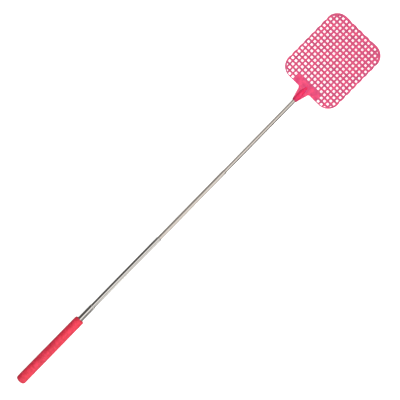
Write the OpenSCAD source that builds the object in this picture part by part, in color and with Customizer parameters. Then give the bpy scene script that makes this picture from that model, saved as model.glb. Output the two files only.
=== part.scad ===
// Telescopic fly swatter, drawn pulled out to its full length and lying flat.
// +X runs along the handle from the grip to the blade, and +Z is square to the blade.
// The origin is on the axis of the tubes, halfway along the grip.

/* [Grip] */
// Length of the soft grip
grip_length = 130; // [110:1:140]
// Outer diameter of the grip
grip_d = 15.6; // [12:0.1:20]
// Thickness of the grip's closed end
grip_end_wall = 3; // [2:0.5:4]
// Radius of the rounding round the closed end
grip_end_round = 4; // [0.5:0.1:5]
// Radius of the rounding round the end that the tube comes out of
grip_mouth_round = 1.8; // [0.3:0.1:2.5]

/* [Tubes] */
// Outer diameter of the fixed tube
outer_d = 9; // [8:0.1:10]
// Step in diameter from each tube to the next one inside it
tube_step = 1; // [0.9:0.05:1.1]
// Wall of every tube
tube_wall = 0.25; // [0.22:0.01:0.28]
// Length of the fixed tube that shows beyond the grip
outer_show = 28.1; // [25:0.1:35]
// Length of the second tube that shows when it is pulled out
second_show = 142; // [130:0.1:144]
// Length of the third tube that shows when it is pulled out
third_show = 140.2; // [128:0.1:142]
// Length of the top tube that shows when it is pulled out
top_show = 148.3; // [136:0.1:152]
// Length of the rolled-in mouth of a tube
nose_length = 2.2; // [1.5:0.1:3]
// Width of the flat ring at the tip of a rolled-in mouth
nose_lip = 0.12; // [0.08:0.01:0.15]

/* [Friction joints] */
// Radial clearance of a tube in the mouth it slides through
slide_clearance = 0.05; // [0.03:0.01:0.08]
// Radial clearance of the half shells to the tube inside them and the tube round them
shell_clearance = 0.04; // [0.02:0.01:0.06]
// Length of a pair of half shells
shell_length = 6; // [4:0.5:8]
// Gap between the edges of two half shells
shell_gap = 1.4; // [0.8:0.1:2]
// Length of the stop collar above the half shells
collar_length = 2; // [1.5:0.1:3]
// Thickness of the bush's flange below the half shells
flange_thickness = 1; // [0.8:0.1:1.5]
// Length of the bush inside its tube
spigot_length = 2.7; // [2:0.1:2.8]
// Wall of the bush inside its tube
spigot_wall = 0.85; // [0.6:0.05:1]
// Play along the axis at each end of the half shells
shell_play = 0.1; // [0.05:0.01:0.2]
// Gap left between a stop collar and the shoulder that stops it
stop_gap = 0.3; // [0.2:0.05:0.5]

/* [Blade] */
// Length of the blade along the handle
blade_length = 124.1; // [110:0.1:135]
// Width of the blade
blade_width = 103.2; // [90:0.1:110]
// Thickness of the blade
blade_thickness = 1.6; // [1.2:0.1:2.4]
// Radius of the blade's corners
corner_radius = 20.5; // [15:0.5:25]
// Height of the scallops on the far edge and the two sides
scallop_height = 1.1; // [0.5:0.1:1.5]
// Distance from one scallop to the next
scallop_pitch = 12.43; // [11:0.01:13]
// Columns of holes, counted along the handle
columns = 18; // [18:1:18]
// Rows of holes, counted across the handle
rows = 15; // [15:1:15]
// Distance from one column of holes to the next
column_pitch = 6.76; // [6.2:0.01:6.8]
// Distance from one row of holes to the next
row_pitch = 6.63; // [6:0.01:6.7]
// Side of a square hole
hole_side = 4; // [3.5:0.1:5]
// Solid rim between the near edge and the first column of holes
near_rim = 1.45; // [1:0.05:2]
// Columns that are left solid behind the neck
solid_columns = 2; // [1:1:3]
// Rows that are left solid behind the neck
solid_rows = 7; // [3:2:9]

/* [Neck and socket] */
// Length of the neck from the socket's mouth to the blade
neck_length = 21.3; // [18:0.1:25]
// Width of the neck at the socket's mouth
neck_mouth_width = 7.5; // [6.5:0.1:8]
// Width of the neck where it meets the blade
neck_blade_width = 19.4; // [14:0.1:24]
// Radius of the fillets between the neck and the blade
neck_fillet = 3; // [2:0.5:6]
// Thickness of the neck
neck_thickness = 2.2; // [1.8:0.1:3]
// Diameter of the socket at its widest
socket_d = 8.1; // [7.5:0.1:9]
// Length of the socket from its mouth to its point
socket_length = 31; // [25:0.5:35]
// Distance from the mouth to the socket's widest place
socket_belly = 12; // [3:0.5:15]
// Depth of the hole that holds the top tube
socket_depth = 14; // [10:0.5:15]

/* [Hidden] */
$fn = 64;

// Colours of the materials
pink = [0.94, 0.27, 0.42];
bright_pink = [0.98, 0.30, 0.48];
steel = [0.80, 0.79, 0.77];
brass = [0.80, 0.66, 0.32];
bronze = [0.76, 0.50, 0.28];
dark_grey = [0.25, 0.25, 0.27];

// The sliding tubes are stages 1, 2 and 3. Stage 0 is the fixed outer tube.
SECOND = 1;
THIRD = 2;
TOP = 3;

grip_r = grip_d / 2;
grip_start = -grip_length / 2;
plug_start = grip_start + grip_end_wall;
plug_flange = 1;
plug_spigot = 3;
plug_chamfer = 0.3;
outer_start = plug_start + plug_flange;

// Mouth of the fixed tube, of the second and third tubes, and of the socket
mouths = [grip_length / 2 + outer_show,
    grip_length / 2 + outer_show + second_show,
    grip_length / 2 + outer_show + second_show + third_show,
    grip_length / 2 + outer_show + second_show + third_show + top_show];
socket_start = mouths[TOP];

// Depth below a mouth of the shoulder inside it, which stops the collar
shoulder_slope = 0.2;
shoulder_depth = nose_length + shoulder_slope;
tube_end_play = 0.2;

function outer_r(stage) = outer_d / 2 - stage * tube_step / 2;
function bore_r(stage) = outer_r(stage) - tube_wall;
function mouth_r(stage) = outer_r(stage + 1) + slide_clearance;
function bush_r(stage) = bore_r(stage - 1) - slide_clearance;

// Places along the axis of one stage's friction joint, from the collar downwards
function collar_start(stage) = mouths[stage - 1] - shoulder_depth - stop_gap - collar_length;
function shell_start(stage) = collar_start(stage) - shell_play - shell_length;
function tube_start(stage) = shell_start(stage) - shell_play;
function tube_end(stage) = stage == TOP ? socket_start + socket_depth - tube_end_play : mouths[stage];

// Turns a shape made round +Z so that it lies along +X
module along_x() {
    rotate([0, 90, 0]) children();
}

// Plain ring round the axis, from one place along it to another
module ring(inner_r, ring_r, start, end) {
    along_x() rotate_extrude() translate([inner_r, start]) square([ring_r - inner_r, end - start]);
}

// Soft sleeve with one closed end, pushed onto the outer tube
module grip() {
    color(pink) along_x() rotate_extrude() difference() {
        polygon(concat(
            [[0, grip_start]],
            [for (a = [0:15:90]) [grip_r + grip_end_round * (sin(a) - 1),
                grip_start + grip_end_round * (1 - cos(a))]],
            [for (a = [0:15:90]) [grip_r + grip_mouth_round * (cos(a) - 1),
                -grip_start + grip_mouth_round * (sin(a) - 1)]],
            [[0, -grip_start]]));
        translate([0, plug_start]) square([outer_r(0), grip_length]);
    }
}

// Plug that closes the bottom of the outer tube
module end_plug() {
    spigot_end = outer_start + plug_spigot;
    color(dark_grey) along_x() rotate_extrude() polygon([
        [0, plug_start], [outer_r(0), plug_start], [outer_r(0), outer_start],
        [bore_r(0), outer_start], [bore_r(0), spigot_end - plug_chamfer],
        [bore_r(0) - plug_chamfer, spigot_end], [0, spigot_end]]);
}

// Thin tube whose top end is rolled in to a mouth round the next tube
module rolled_tube(stage, start) {
    end = mouths[stage];
    tip_r = mouth_r(stage) + nose_lip;
    along_x() rotate_extrude() polygon(concat(
        [[bore_r(stage), start], [outer_r(stage), start]],
        [for (a = [0:18:90]) [tip_r + (outer_r(stage) - tip_r) * cos(a),
            end + nose_length * (sin(a) - 1)]],
        [[mouth_r(stage), end], [mouth_r(stage), end - nose_length],
            [bore_r(stage), end - shoulder_depth]]));
}

module outer_tube() {
    color(steel) rolled_tube(0, outer_start);
}

module sliding_tube(stage) {
    color(steel) rolled_tube(stage, tube_start(stage));
}

// The top tube has no mouth: its end is held in the socket
module top_tube() {
    color(steel) ring(bore_r(TOP), outer_r(TOP), tube_start(TOP), tube_end(TOP));
}

// Ring pressed onto a sliding tube, which stops it at the mouth it slides through
module stop_collar(stage) {
    color(brass)
        ring(outer_r(stage), bush_r(stage), collar_start(stage), collar_start(stage) + collar_length);
}

// Flanged bush pressed into the bottom of a sliding tube. The flange holds the half
// shells on, and the next tube comes to rest on the other end when it is pushed in.
module bush(stage) {
    start = tube_start(stage);
    color(brass) along_x() rotate_extrude() polygon([
        [bore_r(stage) - spigot_wall, start - flange_thickness],
        [bush_r(stage), start - flange_thickness], [bush_r(stage), start],
        [bore_r(stage), start], [bore_r(stage), start + spigot_length],
        [bore_r(stage) - spigot_wall, start + spigot_length]]);
}

// Half shell of thin spring bronze that rubs inside the tube round it, on the +Y or -Y side
module half_shell(stage, side) {
    shell_r = bore_r(stage - 1) - shell_clearance;
    color(bronze) intersection() {
        ring(outer_r(stage) + shell_clearance, shell_r,
            shell_start(stage), shell_start(stage) + shell_length);
        translate([shell_start(stage) - 1, side > 0 ? shell_gap / 2 : -shell_gap / 2 - shell_r, -shell_r - 1])
            cube([shell_length + 2, shell_r, 2 * shell_r + 2]);
    }
}

// Rectangle with round corners, with one side on x = 0 and centred on y = 0
module rounded_plate(length, width, radius) {
    translate([radius, -width / 2]) square([length - 2 * radius, width]);
    translate([0, radius - width / 2]) square([length, width - 2 * radius]);
    for (x = [radius, length - radius], side = [-1, 1])
        translate([x, side * (width / 2 - radius)]) circle(radius);
}

// Blade without holes: a rounded plate whose far edge and two sides are scalloped
module blade_outline() {
    side_scallops = 8;
    first_scallop = 19.2;
    end_scallops = 5;
    scallop_r = (pow(scallop_pitch / 2, 2) + pow(scallop_height, 2)) / (2 * scallop_height);
    intersection() {
        rounded_plate(blade_length, blade_width, corner_radius);
        union() {
            rounded_plate(blade_length - scallop_height, blade_width - 2 * scallop_height, corner_radius);
            for (i = [0:side_scallops - 1], side = [-1, 1])
                translate([first_scallop + i * scallop_pitch, side * (blade_width / 2 - scallop_r)])
                    circle(scallop_r);
            for (i = [0:end_scallops - 1])
                translate([blade_length - scallop_r, (i - (end_scallops - 1) / 2) * scallop_pitch])
                    circle(scallop_r);
        }
    }
}

// Grid of square holes, less the ones behind the neck
module hole_grid() {
    for (i = [0:columns - 1], j = [0:rows - 1]) {
        row = j - (rows - 1) / 2;
        if (i >= solid_columns || abs(row) > (solid_rows - 1) / 2)
            translate([near_rim + i * column_pitch, row * row_pitch - hole_side / 2]) square(hole_side);
    }
}

// Largest shape that the holes may fill, which leaves the rim whole at the corners
module hole_limit() {
    corner_rim = near_rim + 0.45;
    play = 0.05;
    limit_length = (columns - 1) * column_pitch + hole_side + 2 * play;
    limit_width = (rows - 1) * row_pitch + hole_side + 2 * play;
    translate([near_rim - play, 0]) rounded_plate(limit_length, limit_width, corner_radius - corner_rim);
}

// Flat web that widens from the socket's mouth to the blade, with a fillet on each side
module neck() {
    mouth_half = neck_mouth_width / 2;
    slope = atan((neck_blade_width / 2 - mouth_half) / neck_length);
    fillet_x = neck_length - neck_fillet;
    fillet_y = mouth_half + fillet_x * tan(slope) + neck_fillet / cos(slope);
    side = concat([[0, mouth_half]],
        [for (i = [0:6]) let (a = (slope - 90) * (1 - i / 6))
            [fillet_x + neck_fillet * cos(a), fillet_y + neck_fillet * sin(a)]]);
    translate([socket_start, 0, -neck_thickness / 2]) linear_extrude(neck_thickness)
        polygon(concat(side, [for (i = [len(side) - 1:-1:0]) [side[i][0], -side[i][1]]]));
}

// Pointed body that runs from the mouth over the neck and the solid part of the blade
module socket_body() {
    taper = socket_length - socket_belly;
    mouth_taper = 0.3;
    rim_r = socket_d / 2 - mouth_taper;
    rim_chamfer = 0.5;
    translate([socket_start, 0, 0]) along_x() rotate_extrude() polygon(concat(
        [[0, 0], [rim_r - rim_chamfer, 0], [rim_r, rim_chamfer]],
        [for (i = [0:12]) [socket_d / 2 * (1 - pow(i / 12, 2)), socket_belly + taper * i / 12]]));
}

// Socket for the top tube, with the neck. It is one moulding with the blade, and the
// two meet face to face.
module socket() {
    color(bright_pink) difference() {
        union() {
            neck();
            socket_body();
        }
        translate([socket_start - 1, 0, 0]) along_x() cylinder(h = socket_depth + 1, r = outer_r(TOP));
    }
}

// Mesh blade, cut away where the pointed end of the socket runs into it
module blade() {
    color(bright_pink) difference() {
        translate([socket_start + neck_length, 0, -blade_thickness / 2])
            linear_extrude(blade_thickness) difference() {
                blade_outline();
                intersection() {
                    hole_grid();
                    hole_limit();
                }
            }
        socket_body();
    }
}

grip();
end_plug();
outer_tube();
sliding_tube(SECOND);  // second_tube
stop_collar(SECOND);  // second_tube_collar
bush(SECOND);  // second_tube_bush
half_shell(SECOND, 1);  // second_tube_spring_left
half_shell(SECOND, -1);  // second_tube_spring_right
sliding_tube(THIRD);  // third_tube
stop_collar(THIRD);  // third_tube_collar
bush(THIRD);  // third_tube_bush
half_shell(THIRD, 1);  // third_tube_spring_left
half_shell(THIRD, -1);  // third_tube_spring_right
top_tube();
stop_collar(TOP);  // top_tube_collar
bush(TOP);  // top_tube_bush
half_shell(TOP, 1);  // top_tube_spring_left
half_shell(TOP, -1);  // top_tube_spring_right
socket();
blade();
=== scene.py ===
import math

import bmesh
import bpy
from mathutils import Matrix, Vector
from mathutils.geometry import delaunay_2d_cdt


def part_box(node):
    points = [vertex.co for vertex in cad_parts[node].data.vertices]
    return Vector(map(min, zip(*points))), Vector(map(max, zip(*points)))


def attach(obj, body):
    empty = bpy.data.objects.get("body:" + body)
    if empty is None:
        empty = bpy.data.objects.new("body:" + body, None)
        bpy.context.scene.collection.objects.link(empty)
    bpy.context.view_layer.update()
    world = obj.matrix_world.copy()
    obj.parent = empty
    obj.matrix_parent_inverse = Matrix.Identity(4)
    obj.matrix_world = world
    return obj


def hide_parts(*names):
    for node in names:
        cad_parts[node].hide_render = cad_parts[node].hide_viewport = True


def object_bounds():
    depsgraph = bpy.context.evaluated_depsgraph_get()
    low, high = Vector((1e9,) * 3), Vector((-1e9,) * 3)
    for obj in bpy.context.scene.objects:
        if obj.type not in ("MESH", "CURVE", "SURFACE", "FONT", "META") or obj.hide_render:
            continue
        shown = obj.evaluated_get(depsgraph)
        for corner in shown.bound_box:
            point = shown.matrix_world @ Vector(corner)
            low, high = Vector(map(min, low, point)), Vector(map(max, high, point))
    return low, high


# Looks of the telescopic fly swatter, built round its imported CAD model.
# +X runs along the handle from the grip to the blade, and +Z is square to the blade.

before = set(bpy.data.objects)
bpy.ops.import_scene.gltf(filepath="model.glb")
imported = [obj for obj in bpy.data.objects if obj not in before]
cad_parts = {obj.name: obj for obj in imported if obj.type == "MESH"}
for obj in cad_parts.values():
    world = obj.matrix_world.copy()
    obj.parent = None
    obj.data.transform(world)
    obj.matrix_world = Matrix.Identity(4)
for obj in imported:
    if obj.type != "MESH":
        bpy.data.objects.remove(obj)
cad_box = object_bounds()

MM = 0.001

# ---------------------------------------------------------------- driving sizes
GRIP_LO, GRIP_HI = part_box("grip")
SOCKET_LO, SOCKET_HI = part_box("socket")
BLADE_LO, BLADE_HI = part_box("blade")

GRIP_R = GRIP_HI.y
TUBE_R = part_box("outer_tube")[1].y
TOP_TUBE_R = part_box("top_tube")[1].y
SOCKET_R = SOCKET_HI.z
MOUTH_X = SOCKET_LO.x
NEAR_X = BLADE_LO.x
BLADE_LENGTH = BLADE_HI.x - BLADE_LO.x
BLADE_WIDTH = BLADE_HI.y - BLADE_LO.y
BLADE_HALF = BLADE_HI.z

# The grip
GRIP_END_SCALE = 1.014
GRIP_LIP_SCALE = 0.99
GRIP_END_ROUND = 4.4 * MM
GRIP_LIP_ROUND = 2.8 * MM
GRIP_BORE_ROUND = 0.7 * MM
GRIP_BORE_PLAY = 0.01 * MM
GRIP_END_WALL = 3 * MM
GRIP_PLAIN_LIP = 3 * MM
GRIP_STEP = 2 * MM

# The mesh of the blade
COLUMNS = 18
ROWS = 15
COLUMN_PITCH = 6.76 * MM
ROW_PITCH = 6.63 * MM
HOLE_SIDE = 4.0 * MM
HOLE_CORNER = 0.6 * MM
NARROWEST_HOLE = 3.0 * MM
WIDEST_HOLE = 3.9 * MM
SMALLEST_HOLE_AREA = 2 * MM * MM
NEAR_RIM = 1.45 * MM
SOLID_COLUMNS = 2
SOLID_ROWS = 7
CORNER_R = 20.5 * MM
LIMIT_R = 18.6 * MM
LIMIT_PLAY = 0.05 * MM
SCALLOP_HEIGHT = 1.1 * MM
SCALLOP_PITCH = 12.43 * MM
SCALLOP_ZONE = 2 * MM
FIRST_SCALLOP = 19.2 * MM
SIDE_SCALLOPS = 8
END_SCALLOPS = 5
STRAND_ROUND = 0.55 * MM
RIM_ROUND = 0.5 * MM
ROUND_STEPS = 4

# The neck and the socket
NECK_MOUTH_HALF = 3.75 * MM
NECK_BLADE_HALF = 9.7 * MM
NECK_FILLET = 3 * MM
NECK_HALF = 1.1 * MM
NECK_FADE = 8 * MM
SOCKET_LENGTH = 31 * MM
SOCKET_BELLY = 12 * MM
SOCKET_DEPTH = 14 * MM
SOCKET_MOUTH_INSET = 0.5 * MM
SOCKET_MOUTH_ROUND = 0.45 * MM
SOCKET_BORE_PLAY = 0.03 * MM
SOCKET_STEPS = 30

# Longest steps between the points of the head's outlines, and the gaps below which two
# points become one
NECK_STEP = 1.2 * MM
EDGE_STEP = 0.7 * MM
HOLE_STEP = 0.9 * MM
OUTLINE_GAP = 0.1 * MM
HOLE_GAP = 0.12 * MM
MERGE_GAP = 0.001 * MM

# Points inside the neck and the solid part of the blade, which keep the triangles there small
SPARE_STEP = 1.6 * MM
SPARE_INSET = 1.8 * MM
SPARE_END_INSET = 2.5 * MM
SPARE_SLOPE = 0.286


# ---------------------------------------------------------------- small helpers
def make_object(name, mesh, material):
    obj = bpy.data.objects.new(name, mesh)
    bpy.context.scene.collection.objects.link(obj)
    if material is not None:
        obj.data.materials.append(material)
    return obj


def from_bmesh(name, bm, material=None, sharp_angle=40):
    """Object made of the faces, smooth up to the given angle. A closed one is turned inside
    out if its faces point inwards."""
    bmesh.ops.recalc_face_normals(bm, faces=bm.faces)
    closed = all(edge.is_manifold for edge in bm.edges)
    if closed and bm.calc_volume(signed=True) < 0:
        bmesh.ops.reverse_faces(bm, faces=bm.faces)
    mesh = bpy.data.meshes.new(name)
    bm.to_mesh(mesh)
    bm.free()
    mesh.shade_smooth()
    mesh.set_sharp_from_angle(angle=math.radians(sharp_angle))
    return make_object(name, mesh, material)


def lathe(name, profile, segments, material=None, sharp_angle=40, wobble=None):
    """Closed solid turned round +X. The profile is a list of (x, r) from one end on the axis
    to the other end on the axis. wobble(x, angle) scales the radius."""
    bm = bmesh.new()
    rings = []
    for x, r in profile:
        if r < 1e-9:
            rings.append([bm.verts.new((x, 0, 0))])
            continue
        ring = []
        for k in range(segments):
            a = 2 * math.pi * k / segments
            scale = wobble(x, a) if wobble else 1.0
            ring.append(bm.verts.new((x, r * scale * math.cos(a), r * scale * math.sin(a))))
        rings.append(ring)
    for one, two in zip(rings, rings[1:]):
        for k in range(segments):
            corners = [one[k % len(one)], two[k % len(two)],
                       two[(k + 1) % len(two)], one[(k + 1) % len(one)]]
            unique = list(dict.fromkeys(corners))
            if len(unique) > 2:
                bm.faces.new(unique)
    return from_bmesh(name, bm, material, sharp_angle)


def arc(cx, cy, r, start, end, steps):
    """Points on an arc, with angles in degrees."""
    return [(cx + r * math.cos(math.radians(start + (end - start) * i / steps)),
             cy + r * math.sin(math.radians(start + (end - start) * i / steps)))
            for i in range(steps + 1)]


def spaced(points, step):
    """The same open line with more points, so that none are further apart than step."""
    out = []
    for a, b in zip(points, points[1:]):
        n = max(1, math.ceil(math.dist(a, b) / step))
        out += [(a[0] + (b[0] - a[0]) * i / n, a[1] + (b[1] - a[1]) * i / n) for i in range(n)]
    return out + [points[-1]]


def between(start, end, step):
    """Points on the straight line from start to end, without the two ends."""
    return spaced([start, end], step)[1:-1]


def thinned(loop, gap):
    """A closed loop without points closer than gap to the one before."""
    out = []
    for p in loop:
        if not out or math.dist(p, out[-1]) > gap:
            out.append(p)
    if math.dist(out[0], out[-1]) <= gap:
        out.pop()
    return out


def area_of(loop):
    """Area inside a closed loop, which is negative if the loop runs clockwise."""
    return 0.5 * sum(a[0] * b[1] - b[0] * a[1] for a, b in zip(loop, loop[1:] + loop[:1]))


def offset_left(loop, distance):
    """A closed loop moved to its left by distance, with mitred corners."""
    out = []
    n = len(loop)
    for i in range(n):
        p, q, r = (Vector(loop[i - 1]), Vector(loop[i]), Vector(loop[(i + 1) % n]))
        d1, d2 = (q - p).normalized(), (r - q).normalized()
        n1, n2 = Vector((-d1.y, d1.x)), Vector((-d2.y, d2.x))
        mean = (n1 + n2).normalized()
        out.append(tuple(q + mean * min(distance / max(mean.dot(n1), 0.3), distance * 1.5)))
    return out


# ---------------------------------------------------------------- shader helpers
def new_material(name):
    material = bpy.data.materials.new(name)
    material.use_nodes = True
    tree = material.node_tree
    tree.nodes.clear()
    out = tree.nodes.new("ShaderNodeOutputMaterial")
    shader = tree.nodes.new("ShaderNodeBsdfPrincipled")
    tree.links.new(shader.outputs[0], out.inputs["Surface"])
    return material, tree, shader


def node(tree, kind, **settings):
    made = tree.nodes.new(kind)
    for key, value in settings.items():
        setattr(made, key, value)
    return made


def object_coordinates(tree, scale=(1, 1, 1)):
    coords = node(tree, "ShaderNodeTexCoord")
    mapping = node(tree, "ShaderNodeMapping")
    mapping.inputs["Scale"].default_value = scale
    tree.links.new(coords.outputs["Object"], mapping.inputs["Vector"])
    return mapping.outputs[0]


def axes_of(tree, vector):
    """The X, Y and Z outputs of a vector."""
    made = node(tree, "ShaderNodeSeparateXYZ")
    tree.links.new(vector, made.inputs[0])
    return made.outputs


def calculate(tree, operation, *values):
    made = node(tree, "ShaderNodeMath", operation=operation)
    for value, socket in zip(values, made.inputs):
        tree.links.new(value, socket)
    return made.outputs[0]


def noise(tree, vector, scale, detail=3.0, roughness=0.5):
    made = node(tree, "ShaderNodeTexNoise")
    made.inputs["Scale"].default_value = scale
    made.inputs["Detail"].default_value = detail
    made.inputs["Roughness"].default_value = roughness
    tree.links.new(vector, made.inputs["Vector"])
    return made.outputs["Fac"]


def remap(tree, value, low, high, from_low=0.0, from_high=1.0):
    """The value turned into low at from_low and high at from_high, and kept between them."""
    made = node(tree, "ShaderNodeMapRange")
    made.inputs["From Min"].default_value = from_low
    made.inputs["From Max"].default_value = from_high
    made.inputs["To Min"].default_value = low
    made.inputs["To Max"].default_value = high
    tree.links.new(value, made.inputs["Value"])
    return made.outputs[0]


def blend_colours(tree, factor, first, second):
    """The first colour where factor is 0 and the second where it is 1. Each is an output of
    another node or a plain (r, g, b)."""
    made = node(tree, "ShaderNodeMix", data_type="RGBA")
    for socket, value in ((made.inputs[6], first), (made.inputs[7], second)):
        if isinstance(value, bpy.types.NodeSocket):
            tree.links.new(value, socket)
        else:
            socket.default_value = (*value, 1)
    tree.links.new(factor, made.inputs[0])
    return made.outputs[2]


def bump(tree, shader, height, strength, distance, normal=None):
    """Bumps on the shader, on top of those in normal. Gives the new normal."""
    made = node(tree, "ShaderNodeBump")
    made.inputs["Strength"].default_value = strength
    made.inputs["Distance"].default_value = distance
    tree.links.new(height, made.inputs["Height"])
    if normal is not None:
        tree.links.new(normal, made.inputs["Normal"])
    tree.links.new(made.outputs[0], shader.inputs["Normal"])
    return made.outputs[0]


# ---------------------------------------------------------------- materials
def places_on_head(tree, coords):
    """How far a point of the head is on a side, on the thick socket, and near its mouth. The
    side and mouth masks place painted shade.
    """
    flat = calculate(tree, "ABSOLUTE", axes_of(tree, coords.outputs["Normal"])["Z"])
    where = axes_of(tree, coords.outputs["Object"])
    height = calculate(tree, "ABSOLUTE", where["Z"])
    plain = remap(tree, where["X"], NECK_HALF, BLADE_HALF, NEAR_X - NECK_FADE, NEAR_X)
    rise = calculate(tree, "SUBTRACT", height, plain)
    # Mask for painted shade: faces that turn sideways.
    side_shade_mask = remap(tree, flat, 0, 1, 0.62, 0.10)
    on_socket = remap(tree, rise, 0, 1, 0.02 * MM, 0.5 * MM)
    # Mask for painted shadow: strongest at the socket's mouth, gone 6 mm in.
    mouth_shadow_mask = remap(tree, where["X"], 0.58, 0, MOUTH_X, MOUTH_X + 6 * MM)
    return side_shade_mask, on_socket, mouth_shadow_mask


def pink_plastic():
    """Glossy, slightly cloudy moulded plastic that lets some light through. The strands of the
    mesh get a darker pink, painted shade for their thin walls. The pink is deeper on the thick
    socket, darker on faces that turn sideways as painted shade, and darkest towards the socket's
    mouth as painted shadow where the tube goes in."""
    solid_deep, solid_light = (0.69, 0.043, 0.166), (0.88, 0.075, 0.205)
    # Painted shade: the strands' darker pink stands in for the shade on the mesh's thin walls.
    strand_shaded_deep, strand_shaded_light = (0.55, 0.068, 0.192), (0.74, 0.084, 0.216)
    socket_pink = (0.82, 0.022, 0.122)
    # Painted shade on faces that turn sideways.
    side_painted_shade = (0.42, 0.010, 0.085)
    # Painted shadow at the socket's mouth, where the tube goes in.
    mouth_painted_shadow = (0.26, 0.016, 0.070)
    material, tree, shader = new_material("pink_plastic")
    coords = node(tree, "ShaderNodeTexCoord")
    where = coords.outputs["Object"]
    side_shade_mask, on_socket, mouth_shadow_mask = places_on_head(tree, coords)
    patches = remap(tree, noise(tree, where, 150, 3), 0, 1, 0.36, 0.64)
    solid = blend_colours(tree, patches, solid_deep, solid_light)
    strands = blend_colours(tree, patches, strand_shaded_deep, strand_shaded_light)
    on_strand = node(tree, "ShaderNodeAttribute", attribute_name="strand").outputs["Fac"]
    # The strands get their painted shade here.
    colour = blend_colours(tree, on_strand, solid, strands)
    colour = blend_colours(tree, on_socket, colour, socket_pink)
    # Painted shade on the sideways faces.
    colour = blend_colours(tree, side_shade_mask, colour, side_painted_shade)
    # Painted shadow towards the socket's mouth.
    colour = blend_colours(tree, mouth_shadow_mask, colour, mouth_painted_shadow)
    tree.links.new(colour, shader.inputs["Base Color"])
    gloss = remap(tree, noise(tree, where, 180, 4), 0.26, 0.40, 0.3, 0.7)
    tree.links.new(gloss, shader.inputs["Roughness"])
    shader.inputs["Subsurface Weight"].default_value = 0.6
    shader.inputs["Subsurface Radius"].default_value = (1.0, 0.25, 0.35)
    shader.inputs["Subsurface Scale"].default_value = 0.002
    shader.inputs["IOR"].default_value = 1.49
    bump(tree, shader, noise(tree, where, 900, 2), 0.12, 0.0002)
    return material


def soft_grip():
    """Soft foamed rubber: blotchy in tone, with a fine open stipple on the skin."""
    deep_cool, deep_warm = (0.62, 0.004, 0.036), (0.70, 0.008, 0.034)
    light_cool, light_warm = (0.89, 0.032, 0.092), (0.94, 0.024, 0.078)
    material, tree, shader = new_material("soft_grip")
    where = object_coordinates(tree)
    blotches = remap(tree, noise(tree, where, 55, 3, 0.6), 0, 1, 0.35, 0.65)
    mottle = noise(tree, where, 200, 4, 0.7)
    deep = blend_colours(tree, blotches, deep_cool, deep_warm)
    light = blend_colours(tree, blotches, light_cool, light_warm)
    colour = blend_colours(tree, remap(tree, mottle, 0, 1, 0.38, 0.62), deep, light)
    tree.links.new(colour, shader.inputs["Base Color"])
    tree.links.new(remap(tree, mottle, 0.46, 0.64, 0.3, 0.7), shader.inputs["Roughness"])
    shader.inputs["Specular IOR Level"].default_value = 0.9
    shader.inputs["Sheen Weight"].default_value = 0.06
    shader.inputs["Sheen Roughness"].default_value = 0.5
    cells = node(tree, "ShaderNodeTexVoronoi")
    cells.inputs["Scale"].default_value = 1500
    tree.links.new(where, cells.inputs["Vector"])
    fine = bump(tree, shader, cells.outputs["Distance"], 0.4, 0.0002)
    bump(tree, shader, mottle, 0.5, 0.0008, fine)
    return material


def drawn_metal(name, dark, light, roughness, line_strength):
    """Polished drawn metal: fine lines along +X, with slight changes of tone and gloss."""
    material, tree, shader = new_material(name)
    shader.inputs["Metallic"].default_value = 1.0
    lines = noise(tree, object_coordinates(tree, (12, 2600, 2600)), 1.0, 3)
    smears = noise(tree, object_coordinates(tree), 90, 4, 0.6)
    colour = blend_colours(tree, remap(tree, smears, 0, 1, 0.3, 0.7), dark, light)
    tree.links.new(colour, shader.inputs["Base Color"])
    gloss = remap(tree, smears, roughness * 0.8, roughness * 1.3, 0.3, 0.7)
    tree.links.new(gloss, shader.inputs["Roughness"])
    bump(tree, shader, lines, line_strength, 0.00004)
    return material


def dark_plastic():
    """Plain moulded plastic of the hidden plug."""
    material, tree, shader = new_material("dark_plastic")
    grain = noise(tree, object_coordinates(tree), 1500, 3)
    colour = blend_colours(tree, grain, (0.03, 0.03, 0.032), (0.06, 0.06, 0.065))
    tree.links.new(colour, shader.inputs["Base Color"])
    tree.links.new(remap(tree, grain, 0.45, 0.6), shader.inputs["Roughness"])
    bump(tree, shader, grain, 0.2, 0.00005)
    return material


# ---------------------------------------------------------------- the grip
def grip_profile():
    """Half section of the grip, from the middle of its closed end round to the bottom of
    its bore."""
    x0, x1 = GRIP_LO.x, GRIP_HI.x
    end_r, lip_r = GRIP_R * GRIP_END_SCALE, GRIP_R * GRIP_LIP_SCALE
    bore_r = TUBE_R + GRIP_BORE_PLAY
    seat = x0 + GRIP_END_WALL
    dimple = [(x0 + 0.2 * MM, 0), (x0 + 0.1 * MM, 1.6 * MM)]
    end = arc(x0 + GRIP_END_ROUND, end_r - GRIP_END_ROUND, GRIP_END_ROUND, 180, 90, 10)
    lip = arc(x1 - GRIP_LIP_ROUND, lip_r - GRIP_LIP_ROUND, GRIP_LIP_ROUND, 90, 0, 8)
    inner = arc(x1 - GRIP_BORE_ROUND, bore_r + GRIP_BORE_ROUND, GRIP_BORE_ROUND, 0, -90, 5)
    outside = end + between(end[-1], lip[0], GRIP_STEP) + lip
    return dimple + outside + inner + [(seat, bore_r), (seat, 0)]


def grip_wobble(x, a):
    """Very slight waviness of the soft sleeve, away from its two ends."""
    if x > GRIP_HI.x - GRIP_PLAIN_LIP or x < GRIP_LO.x + GRIP_END_WALL:
        return 1.0
    along = 1 + math.sin(x * 170 + 1.3 * math.sin(a))
    around = 1 + 0.5 * math.sin(2 * a + x * 90)
    return 1.0 - 0.003 * along * around / 2


def build_grip(material):
    """Soft sleeve with one closed, rounded end and a rounded lip round the tube."""
    grip = lathe("grip_sleeve", grip_profile(), 96, material, 50, grip_wobble)
    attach(grip, "handle")
    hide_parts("grip")
    return grip


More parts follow.
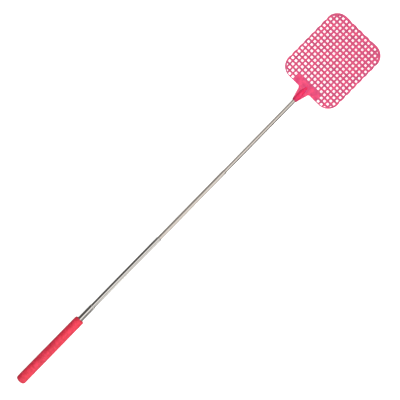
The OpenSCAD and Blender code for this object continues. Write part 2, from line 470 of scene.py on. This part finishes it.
# ---------------------------------------------------------------- the head
def scallop_depth(t):
    """Depth of the scalloped edge below its peaks, at a distance t from a peak."""
    r = ((SCALLOP_PITCH / 2) ** 2 + SCALLOP_HEIGHT ** 2) / (2 * SCALLOP_HEIGHT)
    t = abs((t + SCALLOP_PITCH / 2) % SCALLOP_PITCH - SCALLOP_PITCH / 2)
    return r - math.sqrt(r * r - t * t)


def scalloped(x, y):
    """Moves a point of the blade's plain outline in, where the edge is scalloped. The
    point is measured from the middle of the near edge."""
    half = BLADE_WIDTH / 2
    last = FIRST_SCALLOP + (SIDE_SCALLOPS - 1) * SCALLOP_PITCH
    if FIRST_SCALLOP < x < last and abs(y) > half - SCALLOP_ZONE:
        y = math.copysign(min(abs(y), half - scallop_depth(x - FIRST_SCALLOP)), y)
    if x > BLADE_LENGTH - SCALLOP_ZONE and abs(y) < (END_SCALLOPS - 1) / 2 * SCALLOP_PITCH:
        x = min(x, BLADE_LENGTH - scallop_depth(y))
    return x, y


def neck_outline():
    """The +Y side of the neck, from the socket's mouth to the end of the fillet on the
    blade's near edge. It is measured from the middle of that edge."""
    slope = math.atan((NECK_BLADE_HALF - NECK_MOUTH_HALF) / (NEAR_X - MOUTH_X))
    fillet_x = -NECK_FILLET
    fillet_y = (NECK_MOUTH_HALF + (NEAR_X - MOUTH_X - NECK_FILLET) * math.tan(slope)
                + NECK_FILLET / math.cos(slope))
    fillet = arc(fillet_x, fillet_y, NECK_FILLET, math.degrees(slope) - 90, 0, 10)
    return [(MOUTH_X - NEAR_X, NECK_MOUTH_HALF)] + fillet


def head_outline():
    """Outline of the blade and the neck as one loop, anticlockwise seen from above."""
    half, r = BLADE_WIDTH / 2, CORNER_R
    neck = neck_outline()
    near_corner = arc(r, half - r, r, 180, 90, 24)
    far_corner = arc(BLADE_LENGTH - r, half - r, r, 90, 0, 24)
    upper = spaced(neck, NECK_STEP) + between(neck[-1], near_corner[0], NECK_STEP)
    edge = near_corner + between(near_corner[-1], far_corner[0], EDGE_STEP) + far_corner
    upper += [scalloped(x, y) for x, y in edge]
    lower = [(x, -y) for x, y in reversed(upper)]
    end = [scalloped(x, y) for x, y in between(upper[-1], lower[0], EDGE_STEP)]
    clockwise = upper + end + lower + between(lower[-1], upper[0], NECK_STEP)
    return [(x + NEAR_X, y) for x, y in reversed(thinned(clockwise, OUTLINE_GAP))]


def clipped(x, y):
    """Pulls a point of a hole in to the arc that keeps the rim whole at the corners."""
    first = NEAR_RIM + LIMIT_R - LIMIT_PLAY
    last = NEAR_RIM + (COLUMNS - 1) * COLUMN_PITCH + HOLE_SIDE - LIMIT_R + LIMIT_PLAY
    side = ((ROWS - 1) * ROW_PITCH + HOLE_SIDE) / 2 - LIMIT_R + LIMIT_PLAY
    cx = min(max(x, first), last)
    cy = min(max(y, -side), side)
    far = math.hypot(x - cx, y - cy)
    if far <= LIMIT_R:
        return x, y
    return cx + (x - cx) * LIMIT_R / far, cy + (y - cy) * LIMIT_R / far


def hole_outline(cx, cy):
    """Square hole with round corners, clockwise seen from above. The strands grow a little
    towards the far end and the -Y side of the blade."""
    grown = min(max(0.6 * cx / BLADE_LENGTH + 0.4 * (0.5 - cy / BLADE_WIDTH), 0), 1)
    h, r = (WIDEST_HOLE + (NARROWEST_HOLE - WIDEST_HOLE) * grown) / 2, HOLE_CORNER
    loop = []
    for sx, sy, start in ((1, 1, 90), (1, -1, 0), (-1, -1, -90), (-1, 1, -180)):
        loop += arc(cx + sx * (h - r), cy + sy * (h - r), r, start, start - 90, 4)
    loop = spaced(loop + loop[:1], HOLE_STEP)[:-1]
    return [clipped(x, y) for x, y in loop]


def head_holes():
    """Outlines of all the holes. The solid part has none, and slivers at the corners are
    left out."""
    holes = []
    for i in range(COLUMNS):
        for j in range(ROWS):
            row = j - (ROWS - 1) / 2
            if i < SOLID_COLUMNS and abs(row) <= (SOLID_ROWS - 1) / 2:
                continue
            loop = hole_outline(NEAR_RIM + i * COLUMN_PITCH + HOLE_SIDE / 2, row * ROW_PITCH)
            loop = thinned(loop, HOLE_GAP)
            if len(loop) > 5 and abs(area_of(loop)) > SMALLEST_HOLE_AREA:
                holes.append([(x + NEAR_X, y) for x, y in loop])
    return holes


def half_thickness(x):
    """Half the thickness of the moulding: the neck is thicker, and runs out into the blade."""
    t = min(max((NEAR_X - x) / NECK_FADE, 0), 1)
    return BLADE_HALF + (NECK_HALF - BLADE_HALF) * t * t * (3 - 2 * t)


def edge_rings(bm, loop, r):
    """Rings of points that round off the edge along a loop, from the bottom to the top. Two
    of them stand on the loop itself, at the ends of the upright part between the rounds."""
    rings = []
    for k in range(-ROUND_STEPS, ROUND_STEPS + 1):
        a = math.pi / 2 * abs(k) / ROUND_STEPS
        points = offset_left(loop, r * (1 - math.cos(a))) if k else loop
        for side in ((-1, 1) if k == 0 else (math.copysign(1, k),)):
            rings.append([bm.verts.new((x, y, side * (half_thickness(x) - r + r * math.sin(a))))
                          for x, y in points])
    return rings


def join_rings(bm, rings):
    for one, two in zip(rings, rings[1:]):
        for i in range(len(one)):
            j = (i + 1) % len(one)
            bm.faces.new((one[i], one[j], two[j], two[i]))


def spare_points():
    """Rows of points inside the neck and the solid part of the blade."""
    points = []
    band_end = NEAR_X + NEAR_RIM + SOLID_COLUMNS * COLUMN_PITCH - SPARE_END_INSET
    for i in range(1, int((band_end - MOUTH_X) / SPARE_STEP)):
        x = MOUTH_X + i * SPARE_STEP
        half = SOLID_ROWS / 2 * ROW_PITCH
        if x < NEAR_X:
            half = NECK_MOUTH_HALF + (x - MOUTH_X) * SPARE_SLOPE
        limit = half - SPARE_INSET
        count = int(2 * limit / SPARE_STEP)
        if count > 0:
            points += [(x, -limit + 2 * limit * k / count) for k in range(count + 1)]
    return points


def cover(bm, rings, inner, side):
    """Fills the flat between the outline, which is the first ring, and the rings round the
    holes. The inner points become corners of the faces too."""
    every, edges, owner = [], [], []
    for number, ring in enumerate(rings):
        base = len(every)
        edges += [(base + i, base + (i + 1) % len(ring)) for i in range(len(ring))]
        owner += [number] * len(ring)
        every += ring
    every += inner
    owner += [-1] * len(inner)
    coords = [Vector((v.co.x, v.co.y)) for v in every]
    made = delaunay_2d_cdt(coords, edges, [], 1, 1e-8)
    assert len(made[0]) == len(coords), "the rings of the head cross"
    for face in made[2]:
        corners = [made[3][i][0] for i in face]
        owners = {owner[i] for i in corners}
        if len(owners) == 1 and owners.pop() > 0:
            continue
        bm.faces.new([every[i] for i in corners][::side])


def build_plate():
    """The flat part of the moulding: rounded strands, rim, solid part and neck. The points
    of its edges carry the mark "strand" on the blade, for the material."""
    loops = [(head_outline(), RIM_ROUND)] + [(hole, STRAND_ROUND) for hole in head_holes()]
    bm = bmesh.new()
    strand = bm.verts.layers.float.new("strand")
    tops, bottoms = [], []
    for loop, r in loops:
        rings = edge_rings(bm, loop, r)
        for vert in (v for ring in rings for v in ring if v.co.x > NEAR_X):
            vert[strand] = 1.0
        join_rings(bm, rings)
        bottoms.append(rings[0])
        tops.append(rings[-1])
    spare = spare_points()
    for sheet, sign in ((tops, 1), (bottoms, -1)):
        inner = [bm.verts.new((x, y, sign * half_thickness(x))) for x, y in spare]
        cover(bm, sheet, inner, sign)
    return from_bmesh("head", bm, None, 50)


def socket_radius(t):
    """Radius of the pointed socket at a distance t from its mouth."""
    if t < SOCKET_BELLY:
        return SOCKET_R - SOCKET_MOUTH_INSET * (1 - t / SOCKET_BELLY) ** 4
    s = (t - SOCKET_BELLY) / (SOCKET_LENGTH - SOCKET_BELLY)
    return SOCKET_R * (1 - s * s)


def build_socket():
    """The pointed round body of the socket, from its rounded mouth to its tip."""
    r = SOCKET_MOUTH_ROUND
    profile = [(MOUTH_X, 0)]
    profile += [(MOUTH_X + x, socket_radius(0) - r + y) for x, y in arc(r, 0, r, 180, 90, 5)]
    for i in range(1, SOCKET_STEPS):
        t = r + (SOCKET_LENGTH - r) * i / SOCKET_STEPS
        profile.append((MOUTH_X + t, socket_radius(t)))
    profile.append((MOUTH_X + SOCKET_LENGTH, 0))
    return lathe("socket_body", profile, 64)


def build_bore():
    """The hole for the top tube. It starts outside the mouth, so that the cut is clean."""
    start, end = MOUTH_X - 2 * MM, MOUTH_X + SOCKET_DEPTH
    bore_r = TOP_TUBE_R + SOCKET_BORE_PLAY
    return lathe("socket_bore", [(start, 0), (start, bore_r), (end, bore_r), (end, 0)], 64)


def mesh_after(obj, changes):
    """Mesh of the object after the changes, each a tool and its boolean operation. The tools
    are used up."""
    for tool, operation in changes:
        modifier = obj.modifiers.new(operation, "BOOLEAN")
        modifier.operation = operation
        modifier.object = tool
        modifier.solver = "EXACT"
    bpy.context.view_layer.update()
    graph = bpy.context.evaluated_depsgraph_get()
    mesh = bpy.data.meshes.new_from_object(obj.evaluated_get(graph))
    obj.modifiers.clear()
    for tool, operation in changes:
        bpy.data.objects.remove(tool)
    return mesh


def remove_slivers(mesh):
    """Takes out the edges and faces without size that the booleans leave."""
    bm = bmesh.new()
    bm.from_mesh(mesh)
    bmesh.ops.remove_doubles(bm, verts=bm.verts, dist=MERGE_GAP)
    bmesh.ops.dissolve_degenerate(bm, edges=bm.edges, dist=MERGE_GAP)
    bm.to_mesh(mesh)
    bm.free()


def build_head(material):
    """The head as one moulding: plate and socket joined, and the tube's hole cut in."""
    plate = build_plate()
    mesh = mesh_after(plate, ((build_socket(), "UNION"), (build_bore(), "DIFFERENCE")))
    remove_slivers(mesh)
    mesh.shade_smooth()
    mesh.set_sharp_from_angle(angle=math.radians(40))
    mesh.materials.clear()
    mesh.materials.append(material)
    plate.data = mesh
    plate.name = "head_moulding"
    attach(plate, "top_section")
    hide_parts("socket", "blade")
    return plate


# ---------------------------------------------------------------- the tubes and the parts inside
def finish_cad_nodes():
    """Materials of the CAD nodes that keep their own meshes."""
    steel = drawn_metal("polished_steel", (0.67, 0.64, 0.60), (0.72, 0.69, 0.65), 0.06, 0.15)
    warm_steel = drawn_metal("warm_steel", (0.70, 0.635, 0.57), (0.75, 0.685, 0.62), 0.06, 0.15)
    brass = drawn_metal("turned_brass", (0.74, 0.55, 0.26), (0.80, 0.62, 0.32), 0.28, 0.1)
    bronze = drawn_metal("spring_bronze", (0.62, 0.36, 0.19), (0.70, 0.43, 0.24), 0.32, 0.3)
    plug = dark_plastic()
    for name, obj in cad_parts.items():
        if name.endswith(("_collar", "_bush")):
            material = brass
        elif "_spring_" in name:
            material = bronze
        elif name in ("third_tube", "top_tube"):
            material = warm_steel
        elif name.endswith("_tube"):
            material = steel
        elif name == "end_plug":
            material = plug
        else:
            continue
        obj.data.materials.clear()
        obj.data.materials.append(material)


# ---------------------------------------------------------------- floor, light and camera
FLOOR_HALF = 20.0
FLOOR_GAP = 0.05 * MM
FLOOR_GLOW = 0.84


def build_floor():
    """White floor, lit strongly enough to show as plain white. Its light and its mirror image
    are left off the object, where the surroundings give the light from below instead."""
    material, tree, shader = new_material("pale_floor")
    shader.inputs["Base Color"].default_value = (0.9, 0.9, 0.9, 1)
    shader.inputs["Roughness"].default_value = 0.9
    shader.inputs["Emission Color"].default_value = (1, 1, 1, 1)
    shader.inputs["Emission Strength"].default_value = FLOOR_GLOW
    bm = bmesh.new()
    z = GRIP_LO.z - FLOOR_GAP
    corners = ((-1, -1), (1, -1), (1, 1), (-1, 1))
    bm.faces.new([bm.verts.new((x * FLOOR_HALF, y * FLOOR_HALF, z)) for x, y in corners])
    floor = from_bmesh("floor", bm, material)
    floor.visible_diffuse = False
    floor.visible_glossy = False


# Brightness of the surroundings, which the polished tubes show as stripes along their length.
# Each row is for light from one direction along X, and holds the values at STRIP_ANGLES, in
# degrees round +X from +Z towards +Y. The rows from -0.230 to 0.250 show in the tubes from
# above, each in the tube that looks that way, and the outer ones in views from the sides.
WORLD_STRENGTH = 1.5
LIGHT_FROM_BELOW = (0.7, 0.7, 0.7)
STRIP_ANGLES = (-180, -130, -90, -60, -40, -15, 0, 20, 45, 90, 180)
STRIPS = {
    -0.700: (0.25, 0.12, 0.45, 0.80, 0.25, 0.18, 0.20, 0.75, 0.50, 0.10, 0.25),
    -0.450: (0.02, 0.25, 0.70, 0.50, 0.25, 0.20, 0.20, 0.10, 0.05, 0.04, 0.02),
    -0.230: (0.02, 0.30, 1.30, 1.30, 1.10, 1.00, 0.80, 0.40, 0.10, 0.10, 0.05),
    -0.140: (0.01, 0.01, 0.12, 0.05, 0.10, 1.05, 1.02, 0.10, 0.01, 0.15, 0.01),
    -0.128: (0.02, 0.16, 0.92, 0.60, 0.26, 0.66, 0.96, 0.54, 0.02, 0.10, 0.02),
    -0.056: (0.02, 0.16, 0.92, 0.60, 0.26, 0.66, 0.96, 0.54, 0.02, 0.10, 0.02),
    -0.044: (0.02, 0.22, 0.60, 0.60, 0.62, 0.74, 0.68, 0.38, 0.14, 0.27, 0.20),
    0.028: (0.02, 0.22, 0.60, 0.60, 0.62, 0.74, 0.68, 0.38, 0.14, 0.27, 0.20),
    0.040: (0.02, 0.02, 0.06, 0.30, 0.62, 0.76, 0.78, 0.44, 0.20, 0.30, 0.30),
    0.250: (0.02, 0.02, 0.06, 0.30, 0.62, 0.76, 0.78, 0.44, 0.20, 0.30, 0.30),
    0.450: (0.02, 0.04, 0.08, 0.12, 0.18, 0.20, 0.20, 0.14, 0.08, 0.08, 0.05),
    0.700: (0.25, 0.12, 0.45, 0.80, 0.25, 0.18, 0.20, 0.75, 0.50, 0.10, 0.25)}


def strip_row(tree, across, values):
    """One row of STRIPS as greys that run round +X."""
    ramp = node(tree, "ShaderNodeValToRGB")
    ramp.color_ramp.interpolation = "EASE"
    while len(ramp.color_ramp.elements) < len(values):
        ramp.color_ramp.elements.new(0.5)
    for element, degrees, value in zip(ramp.color_ramp.elements, STRIP_ANGLES, values):
        element.position = (degrees + 180) / 360
        element.color = (value, value, value, 1)
    tree.links.new(across, ramp.inputs[0])
    return ramp.outputs[0]


def surroundings(tree):
    """The rows of STRIPS blended along X, with an even light from straight below."""
    coords = node(tree, "ShaderNodeTexCoord")
    towards = axes_of(tree, coords.outputs["Generated"])
    angle = calculate(tree, "ARCTAN2", towards["Y"], towards["Z"])
    across = remap(tree, angle, 0, 1, -math.pi, math.pi)
    places = sorted(STRIPS)
    grey = strip_row(tree, across, STRIPS[places[0]])
    for start, end in zip(places, places[1:]):
        if STRIPS[start] != STRIPS[end]:
            step = remap(tree, towards["X"], 0, 1, start, end)
            grey = blend_colours(tree, step, grey, strip_row(tree, across, STRIPS[end]))
    below = remap(tree, towards["Z"], 1, 0, -0.96, -0.80)
    return blend_colours(tree, below, grey, LIGHT_FROM_BELOW)


def build_world():
    """Soft studio surroundings in strips that the polished tubes reflect. The camera itself
    sees plain white."""
    world = bpy.data.worlds.new("studio")
    bpy.context.scene.world = world
    world.use_nodes = True
    tree = world.node_tree
    tree.nodes.clear()
    out = node(tree, "ShaderNodeOutputWorld")
    light = node(tree, "ShaderNodeBackground")
    light.inputs["Strength"].default_value = WORLD_STRENGTH
    tree.links.new(surroundings(tree), light.inputs["Color"])
    plain = node(tree, "ShaderNodeBackground")
    plain.inputs["Color"].default_value = (0.95, 0.95, 0.95, 1)
    path = node(tree, "ShaderNodeLightPath")
    choose = node(tree, "ShaderNodeMixShader")
    tree.links.new(path.outputs["Is Camera Ray"], choose.inputs[0])
    tree.links.new(light.outputs[0], choose.inputs[1])
    tree.links.new(plain.outputs[0], choose.inputs[2])
    tree.links.new(choose.outputs[0], out.inputs["Surface"])


def soft_light(name, place, aim, size, power):
    """Round lamp at place, turned to aim, which neither the camera nor the tubes show."""
    data = bpy.data.lights.new(name, "AREA")
    data.shape = "DISK"
    data.size = size
    data.energy = power
    obj = bpy.data.objects.new(name, data)
    obj.location = place
    obj.rotation_mode = "QUATERNION"
    obj.rotation_quaternion = (Vector(aim) - Vector(place)).to_track_quat("-Z", "Y")
    obj.visible_camera = False
    obj.visible_glossy = False
    bpy.context.scene.collection.objects.link(obj)


def build_camera():
    """Straight above the swatter, turned so that the handle runs up to the right."""
    lens, sensor, field = 100, 36, 0.600
    shift_x, shift_y = 0.01655, -0.0034
    turn = -45.63
    distance = field * lens / sensor
    data = bpy.data.cameras.new("camera")
    data.lens = lens
    data.sensor_width = sensor
    data.clip_start, data.clip_end = 0.01, 100
    camera = bpy.data.objects.new("camera", data)
    low, high = cad_box
    aim = Vector(((low.x + high.x) / 2 + shift_x, (low.y + high.y) / 2 + shift_y, 0))
    camera.location = aim + Vector((0, 0, distance))
    camera.rotation_euler = (0, 0, math.radians(turn))
    bpy.context.scene.collection.objects.link(camera)
    bpy.context.scene.camera = camera


build_camera()
build_floor()
build_world()
soft_light("key", place=(0.3, -0.45, 1.30), aim=(0.3, 0, 0), size=0.9, power=10)
soft_light("fill", place=(0.80, 0.55, 0.55), aim=(0.54, 0, 0), size=0.5, power=1.2)
build_grip(soft_grip())
build_head(pink_plastic())
finish_cad_nodes()
bpy.context.scene.view_settings.view_transform = "Standard"
